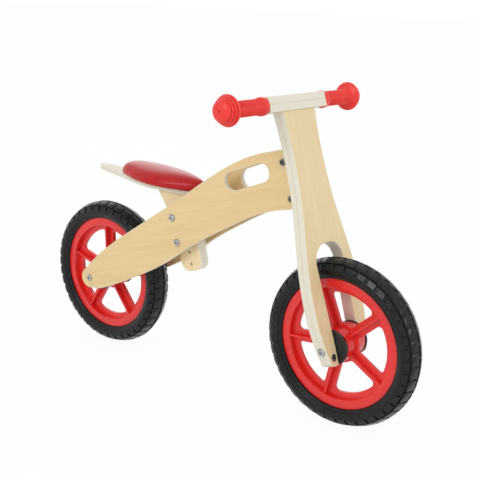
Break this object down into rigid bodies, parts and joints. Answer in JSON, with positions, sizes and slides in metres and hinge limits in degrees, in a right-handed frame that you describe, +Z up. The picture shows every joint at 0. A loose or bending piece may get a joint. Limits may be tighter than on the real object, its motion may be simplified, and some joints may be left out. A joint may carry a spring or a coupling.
{
  "type": "balance bike",
  "caption": "Wooden balance bike with splayed plywood side panels, plate fork, spoked plastic wheels with foam tyres, red padded seat and rubber grips.",
  "frame": {"origin": "on the ground, midway between the two axles, in the middle plane of the bike", "axes": "+X forward, +Y to the rider's left, +Z up"},
  "size_m": [0.8439, 0.37, 0.553],
  "materials": {
    "birch_ply": "clear lacquered",
    "tyre_foam": "matte foam",
    "wheel_plastic": "satin moulded",
    "grip_rubber": "satin",
    "seat_vinyl": "glossy vinyl",
    "bush_nylon": "plain",
    "spacer_plastic": "plain",
    "black_steel": "black oxide",
    "bracket_steel": "black coated",
    "zinc_steel": "zinc plated"
  },
  "bodies": {
    "frame": {"side_panel_right": "birch_ply", "side_panel_left": "birch_ply", "head_block": "birch_ply", "head_tube": "bracket_steel", "head_bush_upper": "bush_nylon", "head_bush_lower": "bush_nylon", "head_bolts": "black_steel", "head_nuts": "black_steel", "seat_post": "birch_ply", "seat_spacer_right": "birch_ply", "seat_spacer_left": "birch_ply", "seat_bolts": "zinc_steel", "seat_nuts": "zinc_steel", "seat_board": "birch_ply", "seat_screws": "zinc_steel", "seat_pad": "seat_vinyl", "rear_axle": "zinc_steel", "rear_axle_nut": "zinc_steel", "rear_spacer_right": "spacer_plastic", "rear_spacer_left": "spacer_plastic"},
    "fork": {"fork_plate": "birch_ply", "leg_dowels": "black_steel", "fork_bracket_upper": "bracket_steel", "fork_bracket_lower": "bracket_steel", "bracket_screws": "zinc_steel", "steering_pin": "zinc_steel", "steering_nut": "zinc_steel", "handlebar": "birch_ply", "handlebar_screws": "zinc_steel", "grip_right": "grip_rubber", "grip_left": "grip_rubber", "front_axle": "zinc_steel", "front_axle_nut": "zinc_steel", "front_spacer_right": "spacer_plastic", "front_spacer_left": "spacer_plastic"},
    "front_wheel": {"front_tyre": "tyre_foam", "front_rim": "wheel_plastic", "front_bush_right": "bush_nylon", "front_bush_left": "bush_nylon"},
    "rear_wheel": {"rear_tyre": "tyre_foam", "rear_rim": "wheel_plastic", "rear_bush_right": "bush_nylon", "rear_bush_left": "bush_nylon"}
  },
  "joints": [
    {"name": "steering", "type": "hinge", "parent": "frame", "child": "fork", "pos_m": [0.16924, 0, 0.40545], "axis": [-0.309, 0, 0.9511], "range_deg": [-35, 35]},
    {"name": "front_wheel_spin", "type": "hinge", "parent": "fork", "child": "front_wheel", "pos_m": [0.277, 0, 0.145], "axis": [0, 1, 0], "continuous": true},
    {"name": "rear_wheel_spin", "type": "hinge", "parent": "frame", "child": "rear_wheel", "pos_m": [-0.277, 0, 0.145], "axis": [0, 1, 0], "continuous": true}
  ]
}
